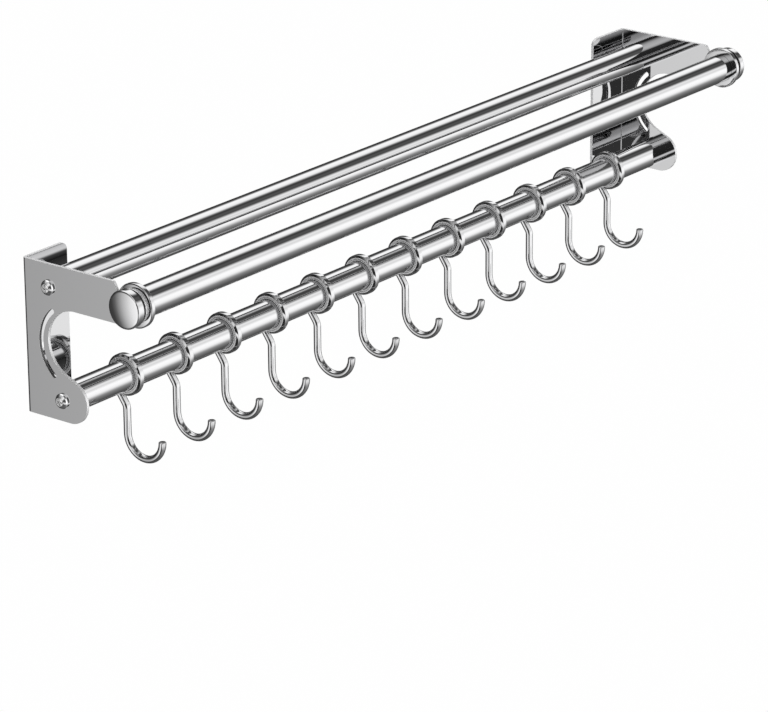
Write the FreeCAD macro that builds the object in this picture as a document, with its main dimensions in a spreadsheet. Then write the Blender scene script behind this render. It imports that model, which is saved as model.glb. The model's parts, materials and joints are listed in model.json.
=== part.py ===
import FreeCAD, Part
import math
import os

import Sketcher

# Kitchen utensil rail
# Two mirror-image folded steel brackets carry three tubes. Twelve ring hooks slide and swing on the lowest one.
# +X runs along the rail, +Y points into the wall, +Z is up. The origin is the middle of the four wall holes.

SIZES = {
    # Whole rail
    "overall_length": 620.0,
    "tube_diameter": 19.0,
    "tube_wall": 1.0,
    # Bracket: a side plate with an arm, a round notch and a round lobe, and a flange folded along the wall
    "bracket_height": 98.0,
    "sheet_thickness": 2.0,
    "bend_radius": 0.5,
    "flange_width": 37.5,
    "flange_corner_radius": 5.0,
    "arm_depth": 26.2,
    "arm_corner_setback": 14.0,
    "arm_toe_setback": 1.0,
    "arm_corner_radius": 2.5,
    "eye_radius": 11.0,
    "notch_reach": 41.0,
    "lobe_radius": 13.5,
    "lobe_reach": 35.0,
    "lobe_neck": 0.8,
    "slot_strip": 2.8,
    "slot_width": 3.2,
    "slot_back_shift": 1.2,
    "slot_down_shift": 1.7,
    "slot_half_angle": 50.0,
    # Holes in the wall flange
    "wall_hole_diameter": 5.5,
    "wall_hole_inset": 14.0,
    "wall_hole_drop": 30.0,
    "wall_hole_spacing": 30.0,
    # Tube places: reach is from the wall, drop is from the bracket's top edge, rise is from its bottom edge
    "rear_tube_reach": 20.5,
    "rear_tube_drop": 15.0,
    "front_tube_reach": 86.5,
    "hook_tube_reach": 28.9,
    "hook_tube_rise": 13.0,
    # Fasteners
    "screw_diameter": 5.0,
    "screw_length": 14.0,
    "screw_head_diameter": 9.6,
    "screw_head_height": 2.8,
    "screw_rim_height": 0.9,
    "recess_span": 4.8,
    "recess_arm": 1.2,
    "recess_depth": 1.7,
    "insert_length": 16.0,
    "fastener_clearance": 0.2,
    "seat_clearance": 0.05,
    # Front tube ends: a screwed cap outside the bracket, a stepped collar inside it
    "cap_diameter": 24.0,
    "cap_thickness": 8.4,
    "cap_dome": 0.9,
    "cap_edge_radius": 0.8,
    "stud_diameter": 6.0,
    "stud_length": 16.0,
    "collar_rim": 4.4,
    "collar_thickness": 3.2,
    "collar_socket_depth": 1.6,
    "collar_edge": 0.7,
    # Hooks: a nylon liner slides on the tube and a steel ring with its welded wire turns on the liner
    "hook_count": 12,
    "end_hook_inset": 57.0,
    "slide_clearance": 0.3,
    "liner_wall": 1.2,
    "turning_clearance": 0.08,
    "liner_lip_height": 0.8,
    "liner_lip_thickness": 0.3,
    "ring_width": 4.6,
    "ring_wall": 2.32,
    "ring_edge": 0.8,
    "wire_diameter": 4.8,
    "wire_lean": 35.0,
    "wire_bend_radius": 6.0,
    "wire_neck": 9.0,
    "wire_weld_run": 11.0,
    "shank_length": 15.6,
    "crook_radius": 14.0,
    "tip_rise": 0.4,
    "wire_end_chamfer": 0.6,
}

doc = FreeCAD.newDocument("UtensilRail")
sheet = doc.addObject("Spreadsheet::Sheet", "Sizes")
for row, (alias, number) in enumerate(SIZES.items(), 1):
    sheet.set(f"A{row}", alias)
    sheet.set(f"B{row}", str(number))
    sheet.setAlias(f"B{row}", alias)
doc.recompute()

SUBPARTS = []

# Expressions that several sub-parts share
LEFT_FACE = "-Sizes.overall_length / 2"
TOP_EDGE = "Sizes.wall_hole_drop + Sizes.wall_hole_spacing / 2"
REAR_HEIGHT = f"{TOP_EDGE} - Sizes.rear_tube_drop"
FRONT_HEIGHT = f"{TOP_EDGE} - Sizes.arm_depth / 2"
HOOK_DROP = "(Sizes.bracket_height - Sizes.hook_tube_rise)"
HOOK_HEIGHT = f"{TOP_EDGE} - {HOOK_DROP}"
NOTCH_RADIUS = "((Sizes.bracket_height - Sizes.arm_depth - Sizes.lobe_neck) / 2 - Sizes.lobe_radius)"
SLOT_MIDDLE = f"({NOTCH_RADIUS} + Sizes.slot_strip + Sizes.slot_width / 2)"
TUBE_BORE = "(Sizes.tube_diameter / 2 - Sizes.tube_wall)"
SHEET_SPAN = "(Sizes.overall_length - 2 * Sizes.sheet_thickness)"
COLLAR_STEP = "(Sizes.collar_thickness - Sizes.collar_socket_depth)"


def value(expression):
    return float(sheet.evalExpression(expression))


def bind(target, prop, expression):
    target.setExpression(prop, expression)


def new_body(label):
    body = doc.addObject("PartDesign::Body", label)
    body.Label = label
    SUBPARTS.append(body)
    return body


def place(body, x, y, z):
    for axis, expression in zip("xyz", (x, y, z)):
        bind(body, f"Placement.Base.{axis}", expression)


def new_sketch(body, role, name):
    sketch = body.newObject("Sketcher::SketchObject", name)
    plane = next(item for item in body.Origin.OriginFeatures if item.Role == role)
    sketch.AttachmentSupport = (plane, [""])
    sketch.MapMode = "FlatFace"
    return sketch


def point(x, y):
    return FreeCAD.Vector(x, y, 0)


def constrain(sketch, kind, *where, by=None):
    """Add a constraint; by is the expression that drives its size."""
    if by is None:
        return sketch.addConstraint(Sketcher.Constraint(kind, *where))
    index = sketch.addConstraint(Sketcher.Constraint(kind, *where, value(by)))
    bind(sketch, f"Constraints[{index}]", by)
    return index


def pin(sketch, geometry, end, x, y):
    """Hold one point of a sketch at x, y from the sketch's origin."""
    constrain(sketch, "DistanceX", -1, 1, geometry, end, by=x)
    constrain(sketch, "DistanceY", -1, 1, geometry, end, by=y)


def polygon(sketch, corners):
    """A closed outline of straight lines through corners given as expressions."""
    spots = [(value(x), value(y)) for x, y in corners]
    for i, spot in enumerate(spots):
        following = spots[(i + 1) % len(spots)]
        sketch.addGeometry(Part.LineSegment(point(*spot), point(*following)), False)
    for i, (x, y) in enumerate(corners):
        constrain(sketch, "Coincident", (i - 1) % len(corners), 2, i, 1)
        pin(sketch, i, 1, x, y)


def circle(sketch, x, y, diameter):
    shape = Part.Circle(point(value(x), value(y)), point(0, 0) + FreeCAD.Vector(0, 0, 1), value(diameter) / 2)
    index = sketch.addGeometry(shape, False)
    constrain(sketch, "Diameter", index, by=diameter)
    pin(sketch, index, 3, x, y)


def arc(x, y, radius, first_angle, last_angle):
    """A counter-clockwise arc, angles in degrees."""
    whole = Part.Circle(point(x, y), FreeCAD.Vector(0, 0, 1), radius)
    return Part.ArcOfCircle(whole, math.radians(first_angle), math.radians(last_angle))


def pad(body, sketch, length, reverse=False, midplane=False):
    feature = body.newObject("PartDesign::Pad", f"{sketch.Name}_pad")
    feature.Profile = sketch
    bind(feature, "Length", length)
    feature.Reversed = reverse
    feature.SideType = "Symmetric" if midplane else "One side"
    return feature


def cut_through(body, sketch):
    feature = body.newObject("PartDesign::Pocket", f"{sketch.Name}_cut")
    feature.Profile = sketch
    feature.Type = 1
    feature.SideType = "Symmetric"
    return feature


def spin(body, sketch):
    """Revolve a sketch about the X axis."""
    feature = body.newObject("PartDesign::Revolution", f"{sketch.Name}_spun")
    feature.Profile = sketch
    feature.ReferenceAxis = (sketch, ["H_Axis"])
    feature.Angle = 360.0
    return feature


def edges_where(feature, test):
    return [f"Edge{i}" for i, edge in enumerate(feature.Shape.Edges, 1) if test(edge)]


def soften(body, feature, test, radius, kind="Fillet"):
    """Fillet or chamfer the edges of a feature that pass a test."""
    doc.recompute()
    names = edges_where(feature, test)
    if not names:
        raise ValueError(f"no edges to soften on {feature.Name}")
    softened = body.newObject(f"PartDesign::{kind}", f"{feature.Name}_soft")
    softened.Base = (feature, names)
    bind(softened, "Radius" if kind == "Fillet" else "Size", radius)
    return softened


def mirrored(source, label):
    """The right-hand twin of a left-hand sub-part."""
    twin = doc.addObject("Part::Mirroring", label)
    twin.Source = source
    twin.Normal = FreeCAD.Vector(1, 0, 0)
    twin.Label = label
    SUBPARTS.append(twin)
    return twin


def is_near(number, target):
    return abs(number - target) < 1e-4


# Bracket

def side_outline(body):
    """The side plate seen from the end: arm at the top, round notch, round lobe at the bottom."""
    sketch = new_sketch(body, "YZ_Plane", "side_outline")
    height = SIZES["bracket_height"]
    arm_depth = SIZES["arm_depth"]
    front_reach = SIZES["front_tube_reach"]
    notch_radius = value(NOTCH_RADIUS)
    lobe_radius = SIZES["lobe_radius"]
    notch = point(-SIZES["notch_reach"], -(arm_depth + notch_radius))
    lobe = point(-SIZES["lobe_reach"], -(height - lobe_radius))
    between = lobe - notch
    lean = math.degrees(math.acos((notch_radius + lobe_radius) / between.Length))
    turn = math.degrees(math.atan2(between.y, between.x)) + lean
    notch_arc = arc(notch.x, notch.y, notch_radius, turn, 90)
    lobe_arc = arc(lobe.x, lobe.y, lobe_radius, turn + 180, 270)
    origin = point(0, 0)
    corner = point(-(front_reach - SIZES["arm_corner_setback"]), 0)
    toe = point(-(front_reach - SIZES["arm_toe_setback"]), -arm_depth)
    foot = point(0, -height)
    sketch.addGeometry(Part.LineSegment(origin, corner), False)
    sketch.addGeometry(Part.LineSegment(corner, toe), False)
    sketch.addGeometry(Part.LineSegment(toe, notch_arc.EndPoint), False)
    sketch.addGeometry(notch_arc, False)
    sketch.addGeometry(Part.LineSegment(notch_arc.StartPoint, lobe_arc.StartPoint), False)
    sketch.addGeometry(lobe_arc, False)
    sketch.addGeometry(Part.LineSegment(lobe_arc.EndPoint, foot), False)
    sketch.addGeometry(Part.LineSegment(foot, origin), False)
    top, end, under, bite, slope, nose, base, back = range(8)
    constrain(sketch, "Coincident", top, 1, -1, 1)
    constrain(sketch, "Coincident", top, 2, end, 1)
    constrain(sketch, "Coincident", end, 2, under, 1)
    constrain(sketch, "Tangent", under, 2, bite, 2)
    constrain(sketch, "Tangent", bite, 1, slope, 1)
    constrain(sketch, "Tangent", slope, 2, nose, 1)
    constrain(sketch, "Tangent", nose, 2, base, 1)
    constrain(sketch, "Coincident", base, 2, back, 1)
    constrain(sketch, "Coincident", back, 2, top, 1)
    constrain(sketch, "Horizontal", top)
    constrain(sketch, "Horizontal", under)
    constrain(sketch, "Horizontal", base)
    constrain(sketch, "Vertical", back)
    constrain(sketch, "DistanceX", -1, 1, top, 2, by="-(Sizes.front_tube_reach - Sizes.arm_corner_setback)")
    pin(sketch, end, 2, "-(Sizes.front_tube_reach - Sizes.arm_toe_setback)", "-Sizes.arm_depth")
    constrain(sketch, "DistanceX", -1, 1, bite, 3, by="-Sizes.notch_reach")
    constrain(sketch, "Radius", bite, by=NOTCH_RADIUS)
    constrain(sketch, "DistanceX", -1, 1, nose, 3, by="-Sizes.lobe_reach")
    constrain(sketch, "Radius", nose, by="Sizes.lobe_radius")
    constrain(sketch, "DistanceY", -1, 1, back, 1, by="-Sizes.bracket_height")
    return sketch


def curved_slot(body):
    """The slot that runs round the wall side of the notch, with round ends."""
    sketch = new_sketch(body, "YZ_Plane", "curved_slot")
    across = "-(Sizes.notch_reach - Sizes.slot_back_shift)"
    down = f"-(Sizes.arm_depth + {NOTCH_RADIUS} + Sizes.slot_down_shift)"
    x = value(across)
    y = value(down)
    half = SIZES["slot_half_angle"]
    width = SIZES["slot_width"]
    middle = value(SLOT_MIDDLE)
    swing = math.radians(half)
    sketch.addGeometry(arc(x, y, middle + width / 2, -half, half), False)
    sketch.addGeometry(arc(x, y, middle - width / 2, -half, half), False)
    upper = (x + middle * math.cos(swing), y + middle * math.sin(swing))
    lower = (x + middle * math.cos(swing), y - middle * math.sin(swing))
    sketch.addGeometry(arc(*upper, width / 2, half, half + 180), False)
    sketch.addGeometry(arc(*lower, width / 2, 180 - half, 360 - half), False)
    constrain(sketch, "Tangent", 0, 2, 2, 1)
    constrain(sketch, "Tangent", 2, 2, 1, 2)
    constrain(sketch, "Tangent", 1, 1, 3, 1)
    constrain(sketch, "Tangent", 3, 2, 0, 1)
    constrain(sketch, "Coincident", 0, 3, 1, 3)
    pin(sketch, 0, 3, across, down)
    constrain(sketch, "Radius", 0, by=f"{SLOT_MIDDLE} + Sizes.slot_width / 2")
    constrain(sketch, "Radius", 2, by="Sizes.slot_width / 2")
    rise = f"{SLOT_MIDDLE} * sin(Sizes.slot_half_angle * 1 deg)"
    constrain(sketch, "DistanceY", 0, 3, 2, 3, by=rise)
    constrain(sketch, "DistanceY", 3, 3, 0, 3, by=rise)
    return sketch


def make_left_bracket():
    body = new_body("left_bracket")
    place(body, LEFT_FACE, "0 mm", TOP_EDGE)
    thickness = SIZES["sheet_thickness"]
    height = SIZES["bracket_height"]

    pad(body, side_outline(body), "Sizes.sheet_thickness")
    eye = new_sketch(body, "YZ_Plane", "eye")
    circle(eye, "-Sizes.front_tube_reach", "-Sizes.arm_depth / 2", "2 * Sizes.eye_radius")
    pad(body, eye, "Sizes.sheet_thickness")
    flange = new_sketch(body, "XZ_Plane", "flange")
    flange_corners = [("0", "0"), ("Sizes.flange_width", "0")]
    flange_corners += [("Sizes.flange_width", "-Sizes.bracket_height"), ("0", "-Sizes.bracket_height")]
    polygon(flange, flange_corners)
    folded = pad(body, flange, "Sizes.sheet_thickness")

    def stands_at(edge, x, y):
        box = edge.BoundBox
        return box.ZLength > height / 2 and is_near(box.XMin, x) and is_near(box.YMin, y)

    def flange_corner(edge):
        box = edge.BoundBox
        return is_near(box.YLength, thickness) and is_near(box.XMin, SIZES["flange_width"])

    def arm_corner(edge):
        box = edge.BoundBox
        upper = is_near(box.YMin, SIZES["arm_corner_setback"] - SIZES["front_tube_reach"]) and is_near(box.ZMin, 0)
        return is_near(box.XLength, thickness) and upper

    bend = soften(body, folded, lambda e: stands_at(e, 0, 0), "Sizes.bend_radius + Sizes.sheet_thickness")
    bend = soften(body, bend, lambda e: stands_at(e, thickness, -thickness), "Sizes.bend_radius")
    bend = soften(body, bend, flange_corner, "Sizes.flange_corner_radius")
    soften(body, bend, arm_corner, "Sizes.arm_corner_radius")

    holes = new_sketch(body, "YZ_Plane", "fastener_holes")
    screw_hole = "Sizes.screw_diameter + 2 * Sizes.fastener_clearance"
    circle(holes, "-Sizes.rear_tube_reach", "-Sizes.rear_tube_drop", screw_hole)
    circle(holes, "-Sizes.hook_tube_reach", f"-{HOOK_DROP}", screw_hole)
    stud_hole = "Sizes.stud_diameter + 2 * Sizes.fastener_clearance"
    circle(holes, "-Sizes.front_tube_reach", "-Sizes.arm_depth / 2", stud_hole)
    cut_through(body, holes)
    cut_through(body, curved_slot(body))
    wall_holes = new_sketch(body, "XZ_Plane", "wall_holes")
    lower_drop = "-(Sizes.wall_hole_drop + Sizes.wall_hole_spacing)"
    circle(wall_holes, "Sizes.wall_hole_inset", "-Sizes.wall_hole_drop", "Sizes.wall_hole_diameter")
    circle(wall_holes, "Sizes.wall_hole_inset", lower_drop, "Sizes.wall_hole_diameter")
    cut_through(body, wall_holes)
    return body


# Tubes and what closes and holds their ends

def make_tube(label, reach, height, length):
    body = new_body(label)
    place(body, "0 mm", f"-{reach}", height)
    section = new_sketch(body, "YZ_Plane", "section")
    circle(section, "0", "0", "Sizes.tube_diameter")
    circle(section, "0", "0", f"2 * {TUBE_BORE}")
    pad(body, section, length, midplane=True)
    return body


def make_left_insert(label, reach, height, tube_length, thread):
    """A tapped plug pressed into the left end of a tube, flush with its end."""
    body = new_body(label)
    place(body, f"-({tube_length}) / 2", f"-{reach}", height)
    section = new_sketch(body, "YZ_Plane", "section")
    circle(section, "0", "0", f"2 * ({TUBE_BORE} - Sizes.seat_clearance)")
    circle(section, "0", "0", f"{thread} + 2 * Sizes.seat_clearance")
    pad(body, section, "Sizes.insert_length")
    return body


def make_left_screw(label, reach, height):
    """A pan head machine screw with a cross recess; its head seats on the outside of the bracket."""
    body = new_body(label)
    place(body, LEFT_FACE, f"-{reach}", height)
    profile = new_sketch(body, "XY_Plane", "profile")
    head = "Sizes.screw_head_height"
    edge = "Sizes.screw_head_diameter / 2"
    corners = [
        (f"-{head}", "0"),
        (f"-{head}", f"{edge} * 0.42"),
        (f"-0.86 * {head}", f"{edge} * 0.7"),
        (f"-0.62 * {head}", f"{edge} * 0.9"),
        ("-Sizes.screw_rim_height", edge),
        ("0", edge),
        ("0", "Sizes.screw_diameter / 2"),
        ("Sizes.screw_length", "Sizes.screw_diameter / 2"),
        ("Sizes.screw_length", "0"),
    ]
    polygon(profile, corners)
    spin(body, profile)
    recess = new_sketch(body, "YZ_Plane", "recess")
    far = "Sizes.recess_span / 2"
    near = "Sizes.recess_arm / 2"
    cross = [(far, near), (near, near), (near, far), (f"-{near}", far), (f"-{near}", near), (f"-{far}", near)]
    cross += [(f"-{far}", f"-{near}"), (f"-{near}", f"-{near}"), (f"-{near}", f"-{far}")]
    cross += [(near, f"-{far}"), (near, f"-{near}"), (far, f"-{near}")]
    polygon(recess, cross)
    bind(recess, "AttachmentOffset.Base.z", "-Sizes.screw_head_height")
    pocket = body.newObject("PartDesign::Pocket", "recess_cut")
    pocket.Profile = recess
    bind(pocket, "Length", "Sizes.recess_depth")
    pocket.Reversed = True
    return body


def make_left_cap():
    """A turned cap with a domed face; its stud passes the bracket and the collar into the front tube."""
    body = new_body("left_end_cap")
    place(body, LEFT_FACE, "-Sizes.front_tube_reach", FRONT_HEIGHT)
    profile = new_sketch(body, "XY_Plane", "profile")
    face = SIZES["cap_thickness"] - SIZES["cap_dome"]
    edge = SIZES["cap_diameter"] / 2
    stud = SIZES["stud_diameter"] / 2
    crown = point(-SIZES["cap_thickness"], 0)
    rim = point(-face, edge)
    dome_radius = (edge**2 + SIZES["cap_dome"]**2) / (2 * SIZES["cap_dome"])
    middle = point(crown.x + dome_radius, 0)
    tilt = math.degrees(math.asin(edge / dome_radius))
    sketch_points = [crown, point(SIZES["stud_length"], 0), point(SIZES["stud_length"], stud), point(0, stud)]
    sketch_points += [point(0, edge), rim]
    for first, last in zip(sketch_points, sketch_points[1:]):
        profile.addGeometry(Part.LineSegment(first, last), False)
    profile.addGeometry(arc(middle.x, 0, dome_radius, 180 - tilt, 180), False)
    dome = 5
    for i in range(4):
        constrain(profile, "Coincident", i, 2, i + 1, 1)
    constrain(profile, "Coincident", 4, 2, dome, 1)
    constrain(profile, "Coincident", dome, 2, 0, 1)
    constrain(profile, "PointOnObject", dome, 3, -1)
    pin(profile, 0, 1, "-Sizes.cap_thickness", "0")
    pin(profile, 1, 1, "Sizes.stud_length", "0")
    pin(profile, 2, 1, "Sizes.stud_length", "Sizes.stud_diameter / 2")
    pin(profile, 3, 1, "0", "Sizes.stud_diameter / 2")
    pin(profile, 4, 1, "0", "Sizes.cap_diameter / 2")
    pin(profile, 4, 2, "-(Sizes.cap_thickness - Sizes.cap_dome)", "Sizes.cap_diameter / 2")
    turned = spin(body, profile)
    soften(body, turned, lambda e: is_near(e.BoundBox.XMin, -face) and e.BoundBox.XLength < 0.01,
           "Sizes.cap_edge_radius")
    return body


def make_left_collar():
    """A stepped collar between the bracket and the front tube, with a socket for the tube's end."""
    body = new_body("left_collar")
    place(body, f"{LEFT_FACE} + Sizes.sheet_thickness", "-Sizes.front_tube_reach", FRONT_HEIGHT)
    profile = new_sketch(body, "XY_Plane", "profile")
    bore = "Sizes.stud_diameter / 2 + Sizes.fastener_clearance"
    socket = "Sizes.tube_diameter / 2 + Sizes.seat_clearance"
    edge = "(Sizes.tube_diameter / 2 + Sizes.collar_rim)"
    corners = [
        ("0", bore),
        ("0", f"{edge} - Sizes.collar_edge"),
        ("Sizes.collar_edge", edge),
        ("Sizes.collar_thickness - Sizes.collar_edge", edge),
        ("Sizes.collar_thickness", f"{edge} - Sizes.collar_edge"),
        ("Sizes.collar_thickness", socket),
        (COLLAR_STEP, socket),
        (COLLAR_STEP, bore),
    ]
    polygon(profile, corners)
    spin(body, profile)
    return body


# Hooks

LINER_BORE = "(Sizes.tube_diameter / 2 + Sizes.slide_clearance)"
LINER_EDGE = f"({LINER_BORE} + Sizes.liner_wall)"
RING_BORE = f"({LINER_EDGE} + Sizes.turning_clearance)"
RING_EDGE = f"({RING_BORE} + Sizes.ring_wall)"
BEND_DROP = f"({RING_EDGE} + Sizes.wire_neck)"
SHANK_DROP = f"({BEND_DROP} + Sizes.shank_length)"


def hook_place(body, number):
    pitch = "(Sizes.overall_length - 2 * Sizes.end_hook_inset) / (Sizes.hook_count - 1)"
    offset = f"({number} - (Sizes.hook_count + 1) / 2) * {pitch}"
    place(body, offset, "-Sizes.hook_tube_reach", HOOK_HEIGHT)


def make_liner(number):
    """A nylon liner that slides on the tube; its two lips keep the ring that turns on it from coming off."""
    body = new_body(f"hook_liner_{number:02d}")
    hook_place(body, number)
    profile = new_sketch(body, "XY_Plane", "profile")
    seat = "(Sizes.ring_width / 2 + Sizes.turning_clearance)"
    side = f"({seat} + Sizes.liner_lip_thickness)"
    lip = f"({LINER_EDGE} + Sizes.liner_lip_height)"
    corners = [
        (f"-{side}", LINER_BORE),
        (f"-{side}", lip),
        (f"-{seat}", lip),
        (f"-{seat}", LINER_EDGE),
        (seat, LINER_EDGE),
        (seat, lip),
        (side, lip),
        (side, LINER_BORE),
    ]
    polygon(profile, corners)
    spin(body, profile)
    return body


def wire_path(body):
    """The centre line of the hook wire, from its tip round the crook and up to its weld on the ring."""
    sketch = new_sketch(body, "YZ_Plane", "wire_path")
    radius = SIZES["crook_radius"]
    shank = value(SHANK_DROP)
    bend = SIZES["wire_bend_radius"]
    start = value(BEND_DROP)
    lean = math.radians(SIZES["wire_lean"])
    run = SIZES["wire_weld_run"]
    bend_arc = arc(bend, -start, bend, 180 - SIZES["wire_lean"], 180)
    knee = bend_arc.StartPoint
    weld = point(knee.x + run * math.sin(lean), knee.y + run * math.cos(lean))
    tip = point(-2 * radius, -shank)
    above = point(-2 * radius, SIZES["tip_rise"] - shank)
    sketch.addGeometry(Part.LineSegment(above, tip), False)
    sketch.addGeometry(arc(-radius, -shank, radius, 180, 360), False)
    sketch.addGeometry(Part.LineSegment(point(0, -shank), point(0, -start)), False)
    sketch.addGeometry(bend_arc, False)
    sketch.addGeometry(Part.LineSegment(knee, weld), False)
    constrain(sketch, "Tangent", 0, 2, 1, 1)
    constrain(sketch, "Tangent", 1, 2, 2, 1)
    constrain(sketch, "Tangent", 2, 2, 3, 2)
    constrain(sketch, "Tangent", 3, 1, 4, 1)
    constrain(sketch, "Vertical", 2)
    pin(sketch, 2, 1, "0", f"-{SHANK_DROP}")
    constrain(sketch, "Radius", 1, by="Sizes.crook_radius")
    constrain(sketch, "DistanceY", 0, 2, 0, 1, by="Sizes.tip_rise")
    constrain(sketch, "Vertical", 0)
    constrain(sketch, "Radius", 3, by="Sizes.wire_bend_radius")
    constrain(sketch, "DistanceY", -1, 1, 2, 2, by=f"-{BEND_DROP}")
    sideways = "Sizes.wire_weld_run * sin(Sizes.wire_lean * 1 deg)"
    upwards = "Sizes.wire_weld_run * cos(Sizes.wire_lean * 1 deg)"
    constrain(sketch, "DistanceX", 4, 1, 4, 2, by=sideways)
    constrain(sketch, "DistanceY", 4, 1, 4, 2, by=upwards)
    return sketch


def make_hook(number):
    """A steel ring with a bent wire welded to its back."""
    body = new_body(f"hook_{number:02d}")
    hook_place(body, number)
    path = wire_path(body)
    section = new_sketch(body, "XY_Plane", "wire_section")
    circle(section, "0", "-2 * Sizes.crook_radius", "Sizes.wire_diameter")
    bind(section, "AttachmentOffset.Base.z", f"Sizes.tip_rise - {SHANK_DROP}")
    wire = body.newObject("PartDesign::AdditivePipe", "wire")
    wire.Profile = section
    wire.Spine = (path, [])
    doc.recompute()
    tip_height = SIZES["tip_rise"] - value(SHANK_DROP)

    def wire_end(edge):
        box = edge.BoundBox
        at_tip = is_near(box.ZMin, tip_height) and box.ZLength < 0.01
        at_weld = box.ZMin > -value(BEND_DROP) and edge.Closed and box.YMin > SIZES["wire_diameter"] / 2
        return at_tip or at_weld

    soften(body, wire, wire_end, "Sizes.wire_end_chamfer", "Chamfer")
    ring = new_sketch(body, "XY_Plane", "ring")
    side = "Sizes.ring_width / 2"
    corners = [
        (f"-{side}", RING_BORE),
        (f"-{side}", f"{RING_EDGE} - Sizes.ring_edge"),
        (f"-{side} + Sizes.ring_edge", RING_EDGE),
        (f"{side} - Sizes.ring_edge", RING_EDGE),
        (side, f"{RING_EDGE} - Sizes.ring_edge"),
        (side, RING_BORE),
    ]
    polygon(ring, corners)
    spin(body, ring)
    bore = new_sketch(body, "YZ_Plane", "bore")
    circle(bore, "0", "0", f"2 * {RING_BORE}")
    cut_through(body, bore)
    return body


# Build

FRONT_LENGTH = f"({SHEET_SPAN} - 2 * {COLLAR_STEP})"

mirrored(make_left_bracket(), "right_bracket")
make_tube("rear_tube", "Sizes.rear_tube_reach", REAR_HEIGHT, SHEET_SPAN)
make_tube("front_tube", "Sizes.front_tube_reach", FRONT_HEIGHT, FRONT_LENGTH)
make_tube("hook_tube", "Sizes.hook_tube_reach", HOOK_HEIGHT, SHEET_SPAN)
inserts = (
    ("rear_insert", "Sizes.rear_tube_reach", REAR_HEIGHT, SHEET_SPAN, "Sizes.screw_diameter"),
    ("front_insert", "Sizes.front_tube_reach", FRONT_HEIGHT, FRONT_LENGTH, "Sizes.stud_diameter"),
    ("hook_tube_insert", "Sizes.hook_tube_reach", HOOK_HEIGHT, SHEET_SPAN, "Sizes.screw_diameter"),
)
for name, *where in inserts:
    mirrored(make_left_insert(f"left_{name}", *where), f"right_{name}")
screws = (
    ("rear_screw", "Sizes.rear_tube_reach", REAR_HEIGHT),
    ("hook_tube_screw", "Sizes.hook_tube_reach", HOOK_HEIGHT),
)
for name, *where in screws:
    mirrored(make_left_screw(f"left_{name}", *where), f"right_{name}")
mirrored(make_left_cap(), "right_end_cap")
mirrored(make_left_collar(), "right_collar")
for number in range(1, int(SIZES["hook_count"]) + 1):
    make_liner(number)
    make_hook(number)
doc.recompute()

# Every object is sound before anything is written
for item in doc.Objects:
    if "Invalid" in item.State or "Error" in item.State:
        raise RuntimeError(f"{item.Label} failed: {item.State}")
for part in SUBPARTS:
    if part.Shape.isNull() or not part.Shape.isValid() or len(part.Shape.Solids) != 1:
        raise RuntimeError(f"{part.Label} is not one valid solid")

os.makedirs("parts", exist_ok=True)
for part in SUBPARTS:
    part.Shape.exportStep(f"parts/{part.Label}.step")
    print(part.Label, round(part.Shape.Volume, 1))
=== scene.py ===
"""Looks of the kitchen utensil rail: polished steel tubes, folded brackets and twelve sliding hooks.

Every length is in metres, in the same frame as the CAD: X runs along the rail, Y into the wall, Z up.
"""
import bpy
import bmesh
import json
import math
from mathutils import Matrix, Vector

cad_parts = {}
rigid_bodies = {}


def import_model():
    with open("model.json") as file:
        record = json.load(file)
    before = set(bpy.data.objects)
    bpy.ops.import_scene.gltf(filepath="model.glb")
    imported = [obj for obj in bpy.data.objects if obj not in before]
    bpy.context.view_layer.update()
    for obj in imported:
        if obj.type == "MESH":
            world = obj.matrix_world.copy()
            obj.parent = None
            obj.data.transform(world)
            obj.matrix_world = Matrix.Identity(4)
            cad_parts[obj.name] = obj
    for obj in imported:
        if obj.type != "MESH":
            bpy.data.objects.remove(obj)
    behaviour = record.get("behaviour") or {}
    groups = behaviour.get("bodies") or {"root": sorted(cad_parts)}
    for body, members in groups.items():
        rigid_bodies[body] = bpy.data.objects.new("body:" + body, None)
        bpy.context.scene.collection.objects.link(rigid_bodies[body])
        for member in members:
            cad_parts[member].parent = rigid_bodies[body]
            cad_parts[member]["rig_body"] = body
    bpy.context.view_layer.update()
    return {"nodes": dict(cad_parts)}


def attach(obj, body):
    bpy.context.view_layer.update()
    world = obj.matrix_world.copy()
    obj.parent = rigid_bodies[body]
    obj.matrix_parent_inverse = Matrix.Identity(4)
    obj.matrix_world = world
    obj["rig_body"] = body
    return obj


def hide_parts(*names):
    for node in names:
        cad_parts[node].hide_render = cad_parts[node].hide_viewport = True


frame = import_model()

MM = 0.001

# Brackets: the plate's outer face, the sheet, the fold, and the slot's centre (y, z), radii and front end
PLATE_FACE = 310 * MM
SHEET = 2 * MM
FOLD_ZONE = 3 * MM
EDGE_BEVEL = 0.25 * MM
SLOT_CENTRE = (-39.8 * MM, -4.9 * MM)
SLOT_WALLS = (24.5 * MM, 28.3 * MM)
SLOT_REACH = -25 * MM

# Tubes: each axis is (y, z)
TUBE_RADIUS = 9.5 * MM
TUBE_WALL = 1 * MM
REAR_AXIS = (-20.5 * MM, 30 * MM)
FRONT_AXIS = (-86.5 * MM, 31.9 * MM)
HOOK_AXIS = (-28.9 * MM, -40 * MM)

# Screw heads: the flat top, the rim's height, and the flank's (radius, height) points in millimetres
FLAT_TOP = 2.7 * MM
HEAD_SIDES = 24
HEAD_RIM = 0.95 * MM
HEAD_PROFILE = ((2.7, 2.77), (3.36, 2.35), (4.32, 1.65), (4.8, 0.9))

# Hooks: their numbers, the number that falls on the rail's middle, and their pitch
HOOK_NUMBERS = range(1, 13)
HOOK_MIDDLE = 6.5
HOOK_PITCH = 46 * MM


# Shaping

def start_shape():
    return bmesh.new()


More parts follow.
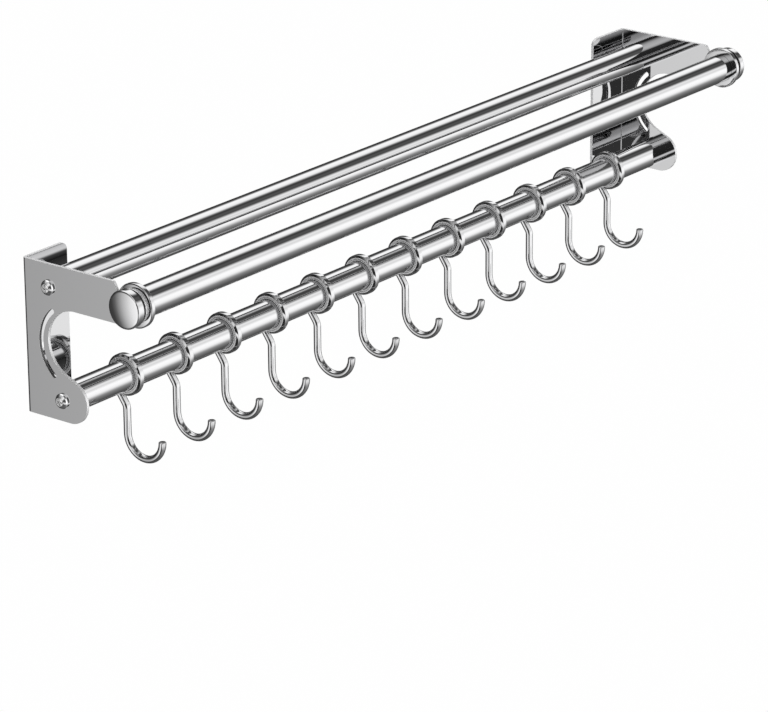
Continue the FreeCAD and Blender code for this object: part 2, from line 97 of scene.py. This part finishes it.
def finish_shape(shape, name, material, node, sharp=32):
    """Turns a shape into a finished piece that rides on its CAD node's body and stands for that node."""
    bmesh.ops.remove_doubles(shape, verts=shape.verts, dist=1e-7)
    bmesh.ops.recalc_face_normals(shape, faces=shape.faces)
    for face in shape.faces:
        face.smooth = True
    for edge in shape.edges:
        edge.smooth = edge.calc_face_angle(0) < math.radians(sharp)
    mesh = bpy.data.meshes.new(name)
    shape.to_mesh(mesh)
    shape.free()
    mesh.materials.append(material)
    piece = bpy.data.objects.new(name, mesh)
    bpy.context.scene.collection.objects.link(piece)
    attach(piece, frame["nodes"][node]["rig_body"])
    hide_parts(node)
    return piece


def turned(shape, outline, axis, steps=96):
    """Spins a closed outline of (x, radius) points round an X axis that passes through axis (y, z)."""
    y, z = axis
    corners = [shape.verts.new((x, y, z + radius)) for x, radius in outline]
    edges = [shape.edges.new(pair) for pair in zip(corners, corners[1:] + corners[:1])]
    bmesh.ops.spin(shape, geom=corners + edges, cent=(0, y, z), axis=(1, 0, 0), angle=2 * math.pi,
                   steps=steps, use_merge=True, use_duplicate=False)


def off_axis(point, axis):
    """How far a point is from an X axis that passes through axis (y, z)."""
    return math.hypot(point.y - axis[0], point.z - axis[1])


def swept_arc(shape, face, centre, angle, steps):
    """Carries the end face round an X axis through centre (x, y, z) and returns the new end face."""
    swept = bmesh.ops.spin(shape, geom=[face], cent=centre, axis=(1, 0, 0), angle=math.radians(angle),
                           steps=steps, use_duplicate=False)
    ends = [part for part in swept["geom_last"] if isinstance(part, bmesh.types.BMFace)]
    return ends[0]


def drawn_out(shape, face, way):
    """Extrudes the end face along way and returns the new end face."""
    drawn = bmesh.ops.extrude_face_region(shape, geom=[face])
    ends = [part for part in drawn["geom"] if isinstance(part, bmesh.types.BMFace)]
    bmesh.ops.translate(shape, verts=ends[0].verts, vec=way)
    if face.is_valid:
        bmesh.ops.delete(shape, geom=[face], context="FACES_ONLY")
    return ends[0]


# Materials

def new_material(name, colour, metallic, roughness):
    material = bpy.data.materials.new(name)
    material.use_nodes = True
    shader = material.node_tree.nodes["Principled BSDF"]
    shader.inputs["Base Color"].default_value = (*colour, 1)
    shader.inputs["Metallic"].default_value = metallic
    shader.inputs["Roughness"].default_value = roughness
    return material, material.node_tree, shader


def add(tree, kind, **settings):
    node = tree.nodes.new(kind)
    for name, setting in settings.items():
        setattr(node, name, setting)
    return node


def grain(tree, scale, detail, stretch=(1, 1, 1)):
    """Noise on Object coordinates, stretched along the way a surface was worked."""
    place = add(tree, "ShaderNodeTexCoord")
    mapping = add(tree, "ShaderNodeMapping")
    mapping.inputs["Scale"].default_value = stretch
    noise = add(tree, "ShaderNodeTexNoise")
    noise.inputs["Scale"].default_value = scale
    noise.inputs["Detail"].default_value = detail
    tree.links.new(place.outputs["Object"], mapping.inputs["Vector"])
    tree.links.new(mapping.outputs["Vector"], noise.inputs["Vector"])
    return noise.outputs["Fac"]


def spread(tree, source, low, high):
    """Maps the middle of a 0 to 1 pattern, where noise mostly lies, onto a range."""
    between = add(tree, "ShaderNodeMapRange")
    between.inputs["From Min"].default_value = 0.3
    between.inputs["From Max"].default_value = 0.7
    between.inputs["To Min"].default_value = low
    between.inputs["To Max"].default_value = high
    tree.links.new(source, between.inputs["Value"])
    return between.outputs["Result"]


def raised(tree, shader, source, strength, distance):
    """Lifts a surface by a pattern, as a bump of the given depth in metres."""
    bump = add(tree, "ShaderNodeBump")
    bump.inputs["Strength"].default_value = strength
    bump.inputs["Distance"].default_value = distance
    tree.links.new(source, bump.inputs["Height"])
    tree.links.new(bump.outputs["Normal"], shader.inputs["Normal"])


def polished_steel(name, colour, low, high, wave, stretch=(1, 1, 1)):
    """Mirror-polished stainless steel: a haze of uneven polish, and the faint waves that buffing leaves."""
    material, tree, shader = new_material(name, colour, 1, low)
    haze = grain(tree, 60, 4, stretch)
    tree.links.new(spread(tree, haze, low, high), shader.inputs["Roughness"])
    buffing = grain(tree, 900, 2, stretch)
    raised(tree, shader, buffing, wave, 2e-6)
    return material


def moulded_nylon():
    """Grey nylon with the fine texture of its mould."""
    material, tree, shader = new_material("moulded_nylon", (0.7, 0.7, 0.705), 0, 0.4)
    mould = grain(tree, 1500, 3)
    tree.links.new(spread(tree, mould, 0.34, 0.48), shader.inputs["Roughness"])
    raised(tree, shader, mould, 0.05, 4e-6)
    return material


def turned_aluminium():
    """Plain turned aluminium for the inserts, which only show inside the tubes."""
    material, tree, shader = new_material("turned_aluminium", (0.75, 0.76, 0.78), 1, 0.35)
    marks = grain(tree, 400, 2, (6, 1, 1))
    tree.links.new(spread(tree, marks, 0.28, 0.45), shader.inputs["Roughness"])
    raised(tree, shader, marks, 0.3, 1e-5)
    return material


TUBE_STEEL = polished_steel("polished_tube_steel", (0.63, 0.63, 0.635), 0.03, 0.05, 0.05, (0.12, 1, 1))
PLATE_STEEL = polished_steel("polished_plate_steel", (0.62, 0.62, 0.625), 0.02, 0.05, 0.04)
EDGE_STEEL = polished_steel("brushed_edge_steel", (0.85, 0.85, 0.855), 0.58, 0.64, 0.02)
RING_STEEL = polished_steel("polished_ring_steel", (0.62, 0.62, 0.625), 0.03, 0.07, 0.05)
CAP_STEEL = polished_steel("turned_cap_steel", (0.62, 0.62, 0.625), 0.04, 0.09, 0.05)
# Near-black steel: painted shade on the bracket's slot walls and in the cap's groove at the plate.
PAINTED_SHADE_STEEL = polished_steel("painted_shade_steel", (0.12, 0.12, 0.12), 0.40, 0.50, 0.02)
SCREW_STEEL = polished_steel("plated_screw_steel", (0.85, 0.85, 0.855), 0.18, 0.24, 0.02)
HEAD_STEEL = polished_steel("satin_head_steel", (0.97, 0.97, 0.97), 0.40, 0.46, 0.02)
NYLON = moulded_nylon()
ALUMINIUM = turned_aluminium()


# Tubes

def make_tube(name, axis, end):
    shape = start_shape()
    inner = TUBE_RADIUS - TUBE_WALL
    turned(shape, [(-end, inner), (-end, TUBE_RADIUS), (end, TUBE_RADIUS), (end, inner)], axis, 128)
    finish_shape(shape, "polished_" + name, TUBE_STEEL, name)


make_tube("rear_tube", REAR_AXIS, 308 * MM)
make_tube("front_tube", FRONT_AXIS, 306.4 * MM)
make_tube("hook_tube", HOOK_AXIS, 308 * MM)


# Brackets and screws, finished from the CAD shapes

def merged_copy(node):
    """The CAD node's mesh with its loose triangles joined into whole faces."""
    shape = start_shape()
    shape.from_mesh(frame["nodes"][node].data)
    bmesh.ops.remove_doubles(shape, verts=shape.verts, dist=1e-6)
    bmesh.ops.dissolve_limit(shape, angle_limit=math.radians(0.5), verts=shape.verts, edges=shape.edges)
    return shape


def is_cut_edge(face):
    """True on the thin walls where the sheet was cut, and False on its two faces and the fold."""
    middle = face.calc_center_median()
    on_plate = abs(face.normal.x) > 0.999 and abs(middle.x) > PLATE_FACE - SHEET - 1e-5
    on_flange = abs(face.normal.y) > 0.999 and middle.y > -SHEET - 1e-5
    near_fold = middle.y > -FOLD_ZONE and abs(middle.x) > PLATE_FACE - FOLD_ZONE
    on_fold = abs(face.normal.z) < 0.01 and near_fold
    return not (on_plate or on_flange or on_fold)


def is_slot_wall(face):
    """True on the cut walls of the curved slot, which get near-black steel as painted shade."""
    middle = face.calc_center_median()
    in_slot = middle.y > SLOT_REACH and SLOT_WALLS[0] < off_axis(middle, SLOT_CENTRE) < SLOT_WALLS[1]
    return in_slot and is_cut_edge(face)


def finish_bracket(side):
    """The CAD bracket with its corners broken, its cut walls brushed, and shade painted dark on its slot's
    walls.
    """
    node = side + "_bracket"
    shape = merged_copy(node)
    for face in shape.faces:
        # Index 2 puts near-black steel on the slot's walls: painted shade.
        face.material_index = 2 if is_slot_wall(face) else 1 if is_cut_edge(face) else 0
    corners = [edge for edge in shape.edges if edge.calc_face_angle(0) > math.radians(50)]
    bmesh.ops.bevel(shape, geom=corners, offset=EDGE_BEVEL, affect="EDGES", segments=3, profile=0.5,
                    material=1, clamp_overlap=True)
    piece = finish_shape(shape, side + "_folded_bracket", PLATE_STEEL, node)
    piece.data.materials.append(EDGE_STEEL)
    piece.data.materials.append(PAINTED_SHADE_STEEL)
    for face in piece.data.polygons:
        face.use_smooth = max(abs(part) for part in face.normal) < 0.9999


def head_height(radius):
    """How far a screw head stands off the plate at a radius from its axis."""
    for (near, high), (far, low) in zip(HEAD_PROFILE, HEAD_PROFILE[1:]):
        if radius <= far * MM:
            break
    share = min(1, (radius / MM - near) / (far - near))
    return (high + (low - high) * share) * MM


def finish_screw(side, place):
    """The CAD screw with a satin top and a polished flank that falls away round it, as on a pan head."""
    node = f"{side}_{place}_screw"
    axis = REAR_AXIS if place == "rear" else HOOK_AXIS
    centre = Vector((0, axis[0], axis[1]))
    shape = start_shape()
    shape.from_mesh(frame["nodes"][node].data)
    bmesh.ops.remove_doubles(shape, verts=shape.verts, dist=1e-6)
    for step in range(HEAD_SIDES):
        turn = math.tau * step / HEAD_SIDES
        way = Vector((0, math.cos(turn), math.sin(turn)))
        bmesh.ops.bisect_plane(shape, geom=shape.verts[:] + shape.edges[:] + shape.faces[:], dist=1e-7,
                               plane_co=centre + way * FLAT_TOP, plane_no=way)
    for vert in shape.verts:
        radius = off_axis(vert.co, axis)
        if abs(vert.co.x) > PLATE_FACE + HEAD_RIM and radius > FLAT_TOP * 0.99:
            vert.co.x = math.copysign(PLATE_FACE + head_height(radius), vert.co.x)
    for face in shape.faces:
        middle = face.calc_center_median()
        on_top = abs(middle.x) > PLATE_FACE and off_axis(middle, axis) < FLAT_TOP
        face.material_index = 1 if on_top else 0
    piece = finish_shape(shape, node + "_turned", SCREW_STEEL, node, 20)
    piece.data.materials.append(HEAD_STEEL)


for side in ("left", "right"):
    finish_bracket(side)
    for place in ("rear", "hook_tube"):
        finish_screw(side, place)
    for place in ("rear", "front", "hook_tube"):
        insert = frame["nodes"][f"{side}_{place}_insert"]
        insert.data.materials.clear()
        insert.data.materials.append(ALUMINIUM)


# Caps and collars at the ends of the front tube

def rounded(middle, radius, first, last, steps):
    """Points on an arc of an outline, for a turned piece's rounded edge."""
    turns = [math.radians(first + (last - first) * step / steps) for step in range(steps + 1)]
    return [(middle[0] + radius * math.cos(turn), middle[1] + radius * math.sin(turn)) for turn in turns]


def make_cap(side, hand):
    """A crowned cap with a rounded edge, a groove turned at the plate with shade painted dark in it, and
    the stud behind it.
    """
    face = PLATE_FACE + 8.4 * MM
    edge = 12 * MM
    dome = 1.25 * MM
    dome_radius = (edge ** 2 + dome ** 2) / (2 * dome)
    corner = 1.1 * MM
    bevel = 0.2 * MM
    groove = PLATE_FACE + 2.5 * MM
    neck = edge - 2 * MM
    stud = 3 * MM
    stud_end = PLATE_FACE - 16 * MM
    outline = rounded((face - dome_radius, 0), dome_radius, 0.01, 10.8, 14)
    outline += rounded((face - 2 * corner, edge - corner), corner, 14, 90, 7)
    outline += [(groove + bevel, edge), (groove, edge - bevel), (groove, neck), (PLATE_FACE, neck)]
    outline += [(PLATE_FACE, stud), (stud_end, stud), (stud_end, 0.01 * MM)]
    shape = start_shape()
    turned(shape, [(hand * x, radius) for x, radius in outline], FRONT_AXIS, 96)
    for face in shape.faces:
        # The groove, neck and stud get near-black steel: painted shade in the groove.
        face.material_index = 1 if abs(face.calc_center_median().x) < groove + 0.05 * MM else 0
    piece = finish_shape(shape, side + "_turned_cap", CAP_STEEL, side + "_end_cap")
    piece.data.materials.append(PAINTED_SHADE_STEEL)


def make_collar(side, hand):
    """A turned washer with a bevelled face at the plate, rounded edges and a socket for the tube."""
    outer = PLATE_FACE - SHEET
    inner = outer - 3.2 * MM
    hole = 3.2 * MM
    rim = 13.9 * MM
    edge = 0.5 * MM
    fall = 0.3 * MM
    socket = 9.6 * MM
    socket_floor = inner + 1.6 * MM
    outline = [(outer, hole), (outer, rim - 1.1 * MM)]
    outline += rounded((outer - fall - edge, rim - edge), edge, 22, 90, 5)
    outline += rounded((inner + edge, rim - edge), edge, 90, 180, 5)
    outline += [(inner, socket), (socket_floor, socket), (socket_floor, hole)]
    shape = start_shape()
    turned(shape, [(hand * x, radius) for x, radius in outline], FRONT_AXIS, 96)
    finish_shape(shape, side + "_turned_collar", CAP_STEEL, side + "_collar")


for side, hand in (("left", -1), ("right", 1)):
    make_cap(side, hand)
    make_collar(side, hand)


# Hooks: a turned ring with a bent wire welded to its back

def make_hook(number):
    """A ring with sloped faces and a small step at its bore, and the wire hook welded to its back."""
    x = (number - HOOK_MIDDLE) * HOOK_PITCH
    y, z = HOOK_AXIS
    half = 2.3 * MM
    bore = 11.08 * MM
    edge = 13.4 * MM
    corner = 0.3 * MM
    fall = 0.6 * MM
    step = [(half - corner, bore), (half - corner, 11.75 * MM), (half, 11.9 * MM)]
    outline = [(x - along, radius) for along, radius in step]
    outline += rounded((x - half + fall + corner, edge - corner), corner, 155, 90, 4)
    outline += rounded((x + half - fall - corner, edge - corner), corner, 90, 25, 4)
    outline += [(x + along, radius) for along, radius in reversed(step)]
    shape = start_shape()
    turned(shape, outline, HOOK_AXIS, 96)
    lean = math.radians(35)
    way = Vector((0, math.sin(lean), math.cos(lean)))
    wire = 2.4 * MM
    weld_run = 11 * MM
    bend = 6 * MM
    drop = 22.4 * MM
    shank = 15.6 * MM
    crook = 14 * MM
    tip = 0.4 * MM
    bend_end = Vector((x, y + bend - bend * math.cos(lean), z - drop + bend * math.sin(lean)))
    slope = Matrix.Translation(bend_end + way * weld_run) @ Matrix.Rotation(-lean, 4, "X")
    disc = bmesh.ops.create_circle(shape, cap_ends=True, radius=wire, segments=28, matrix=slope)
    end = disc["verts"][0].link_faces[0]
    end = drawn_out(shape, end, way * -weld_run)
    end = swept_arc(shape, end, (x, y + bend, z - drop), 35, 8)
    end = drawn_out(shape, end, (0, 0, -shank))
    end = swept_arc(shape, end, (x, y - crook, z - drop - shank), -180, 32)
    end = drawn_out(shape, end, (0, 0, tip))
    bmesh.ops.bevel(shape, geom=list(end.edges), offset=0.6 * MM, affect="EDGES", segments=3, profile=0.5,
                    material=-1)
    node = f"hook_{number:02d}"
    finish_shape(shape, "steel_" + node, RING_STEEL, node)


def make_liner(number):
    """A nylon sleeve with a lip at each end that keeps the ring on, and a fine moulded line in each end."""
    x = (number - HOOK_MIDDLE) * HOOK_PITCH
    seat = 2.38 * MM
    side = 2.68 * MM
    edge = 0.12 * MM
    bore = 9.8 * MM
    sleeve = 11 * MM
    lip = 11.8 * MM
    line = [10.4 * MM, 10.5 * MM, 10.9 * MM, sleeve]
    line_floor = side - 0.8 * MM
    end = [(side - 2 * edge, bore), (side - edge, bore + edge), (side - edge, line[0])]
    end += [(line_floor, line[1]), (line_floor, line[2]), (side - edge / 2, line[3])]
    end += [(side, lip - edge), (side - edge, lip), (seat, lip), (seat, sleeve)]
    outline = [(x - along, radius) for along, radius in end]
    outline += [(x + along, radius) for along, radius in reversed(end)]
    shape = start_shape()
    turned(shape, outline, HOOK_AXIS, 96)
    node = f"hook_liner_{number:02d}"
    finish_shape(shape, f"nylon_liner_{number:02d}", NYLON, node)


for number in HOOK_NUMBERS:
    make_hook(number)
    make_liner(number)


# Studio: a pale floor and backdrop, and long soft lights and dark boards that run beside the rail

FLOOR_MIDDLE = (0.6, 0.6, -0.5)
FLOOR_HALF = 6
BACKDROP_RADIUS = 9
FLOOR_GLOW = 0.995
BACKDROP_GLOW = 0.7
STUDIO_STRENGTH = 1.53

# The studio's light in each direction round the rail: degrees up from straight ahead of it, brightness
RIGHT_LIGHT = [
    (-180, 0.03), (-122, 0.06), (-104, 0.07), (-88, 0.08), (-75, 0.115), (-60, 0.18), (-51, 0.24),
    (-44, 0.35), (-37, 0.53), (-30, 0.74), (-21, 0.92), (-8, 0.99), (3, 1.0), (10, 0.87), (19, 0.70),
    (31, 0.83), (36, 0.70), (43, 0.27), (49, 0.065), (61, 0.08), (67, 0.07), (75, 0.038), (80, 0.055),
    (86, 0.15), (93, 0.52), (99, 0.83), (112, 0.92), (129, 0.96), (136, 0.72), (143, 0.24), (150, 0.07),
    (180, 0.01),
]
LEFT_LIGHT = [
    (-180, 0.01), (-120, 0.02), (-60, 0.02), (-52, 0.70), (-45, 0.85), (-37, 0.80), (-31, 0.06),
    (-24, 0.02), (46, 0.03), (56, 0.52), (70, 0.70), (100, 0.56), (120, 0.28), (134, 0.06),
    (148, 0.01), (180, 0.01),
]

# The soft light behind the left end, by degrees from the left end round towards the wall
WALL_LIGHT = [
    (0, 0.95), (20, 0.92), (27, 0.82), (34, 0.62), (40, 0.46), (45, 0.31), (52, 0.12), (58, 0.05),
    (90, 0.01),
]


def pale_paint(name, light):
    """Even pale paint that gives its own light."""
    material, tree, shader = new_material(name, (0.0, 0.0, 0.0), 0, 1)
    shader.inputs["Specular IOR Level"].default_value = 0
    shader.inputs["Emission Color"].default_value = (1, 1, 1, 1)
    shader.inputs["Emission Strength"].default_value = light
    return material


def stage_piece(shape, name, paint):
    """A part of the studio that is seen, but that the polished steel doesn't reflect."""
    mesh = bpy.data.meshes.new(name)
    shape.to_mesh(mesh)
    shape.free()
    mesh.materials.append(paint)
    piece = bpy.data.objects.new(name, mesh)
    bpy.context.scene.collection.objects.link(piece)
    piece.visible_glossy = False
    piece.visible_shadow = False
    return piece


def make_floor_and_backdrop():
    """Puts both in place. Only the camera sees the backdrop, which lets the studio's light through."""
    ground = start_shape()
    bmesh.ops.create_grid(ground, x_segments=1, y_segments=1, size=FLOOR_HALF,
                          matrix=Matrix.Translation(FLOOR_MIDDLE))
    stage_piece(ground, "pale_floor", pale_paint("pale_floor_paint", FLOOR_GLOW))
    dome = start_shape()
    bmesh.ops.create_uvsphere(dome, u_segments=64, v_segments=32, radius=BACKDROP_RADIUS)
    backdrop = stage_piece(dome, "pale_backdrop", pale_paint("pale_backdrop_paint", BACKDROP_GLOW))
    backdrop.visible_diffuse = False


def ramp(tree, source, stops, low, high):
    """A colour ramp whose stops are given in the source's own units."""
    part = add(tree, "ShaderNodeMapRange")
    part.inputs["From Min"].default_value = low
    part.inputs["From Max"].default_value = high
    tree.links.new(source, part.inputs["Value"])
    colours = add(tree, "ShaderNodeValToRGB")
    for _ in stops[1:-1]:
        colours.color_ramp.elements.new(0.5)
    for stop, (place, light) in zip(colours.color_ramp.elements, stops):
        stop.position = (place - low) / (high - low)
        stop.color = (light, light, light, 1)
    tree.links.new(part.outputs["Result"], colours.inputs["Fac"])
    return colours.outputs["Color"]


def maths(tree, operation, first, second):
    """A math node on two terms, each of them a number or a socket."""
    node = add(tree, "ShaderNodeMath", operation=operation)
    for socket, term in zip(node.inputs, (first, second)):
        if isinstance(term, (int, float)):
            socket.default_value = term
        else:
            tree.links.new(term, socket)
    return node.outputs["Value"]


def soft_step(tree, source, start, end):
    """Rises smoothly from 0 at start to 1 at end."""
    node = add(tree, "ShaderNodeMapRange", interpolation_type="SMOOTHSTEP")
    node.inputs["From Min"].default_value = min(start, end)
    node.inputs["From Max"].default_value = max(start, end)
    node.inputs["To Min"].default_value = 0 if start < end else 1
    node.inputs["To Max"].default_value = 1 if start < end else 0
    tree.links.new(source, node.inputs["Value"])
    return node.outputs["Result"]


def blended(tree, share, first, second):
    node = add(tree, "ShaderNodeMix", data_type="RGBA")
    tree.links.new(share, node.inputs["Factor"])
    tree.links.new(first, node.inputs["A"])
    tree.links.new(second, node.inputs["B"])
    return node.outputs["Result"]


def make_world():
    """Long lights and boards beside the rail, and a soft light behind its left end."""
    world = bpy.data.worlds.new("studio")
    world.use_nodes = True
    tree = world.node_tree
    tree.nodes.clear()
    place = add(tree, "ShaderNodeTexCoord")
    split = add(tree, "ShaderNodeSeparateXYZ")
    tree.links.new(place.outputs["Generated"], split.inputs["Vector"])
    x, y, z = split.outputs["X"], split.outputs["Y"], split.outputs["Z"]
    ahead = maths(tree, "MULTIPLY", y, -1)
    leftward = maths(tree, "MULTIPLY", x, -1)
    to_degrees = 180 / math.pi
    upwards = maths(tree, "MULTIPLY", maths(tree, "ARCTAN2", z, ahead), to_degrees)
    sideways = maths(tree, "MULTIPLY", maths(tree, "ARCTAN2", y, leftward), to_degrees)
    right_light = ramp(tree, upwards, RIGHT_LIGHT, -180, 180)
    left_light = ramp(tree, upwards, LEFT_LIGHT, -180, 180)
    wall_light = ramp(tree, sideways, WALL_LIGHT, 0, 90)
    front = blended(tree, soft_step(tree, x, -0.68, -0.5), left_light, right_light)
    low_edge = soft_step(tree, z, -0.78, -0.58)
    high_edge = soft_step(tree, z, 0.22, -0.02)
    near_wall = soft_step(tree, y, 0.0, 0.12)
    left_end = soft_step(tree, x, -0.1, -0.4)
    heights = maths(tree, "MULTIPLY", low_edge, high_edge)
    corner = maths(tree, "MULTIPLY", near_wall, left_end)
    share = maths(tree, "MULTIPLY", heights, corner)
    light = add(tree, "ShaderNodeBackground")
    light.inputs["Strength"].default_value = STUDIO_STRENGTH
    tree.links.new(blended(tree, share, front, wall_light), light.inputs["Color"])
    output = add(tree, "ShaderNodeOutputWorld")
    tree.links.new(light.outputs["Background"], output.inputs["Surface"])
    bpy.context.scene.world = world


# The camera, fitted to the photo: its place in metres, its angles in degrees and its lens in millimetres
CAMERA_PLACE = (-1.9959, -1.6018, 0.8401)
CAMERA_TURN = -51.758
CAMERA_RISE = 20.365
CAMERA_ROLL = -0.406
CAMERA_LENS = 193.4


def make_camera():
    turn = math.radians(CAMERA_TURN)
    rise = math.radians(CAMERA_RISE)
    roll = math.radians(CAMERA_ROLL)
    back = Vector((math.sin(turn) * math.cos(rise), -math.cos(turn) * math.cos(rise), math.sin(rise)))
    right = Vector((math.cos(turn), math.sin(turn), 0))
    up = back.cross(right)
    level = right * math.cos(roll) + up * math.sin(roll)
    upright = up * math.cos(roll) - right * math.sin(roll)
    lens = bpy.data.cameras.new("photo_camera")
    lens.sensor_fit = "HORIZONTAL"
    lens.sensor_width = 36
    lens.lens = CAMERA_LENS
    lens.clip_end = 50
    camera = bpy.data.objects.new("photo_camera", lens)
    bpy.context.scene.collection.objects.link(camera)
    turned_frame = Matrix((level, upright, back)).transposed().to_4x4()
    camera.matrix_world = Matrix.Translation(CAMERA_PLACE) @ turned_frame
    bpy.context.scene.camera = camera


make_floor_and_backdrop()
make_world()
make_camera()
bpy.context.scene.view_settings.view_transform = "Standard"
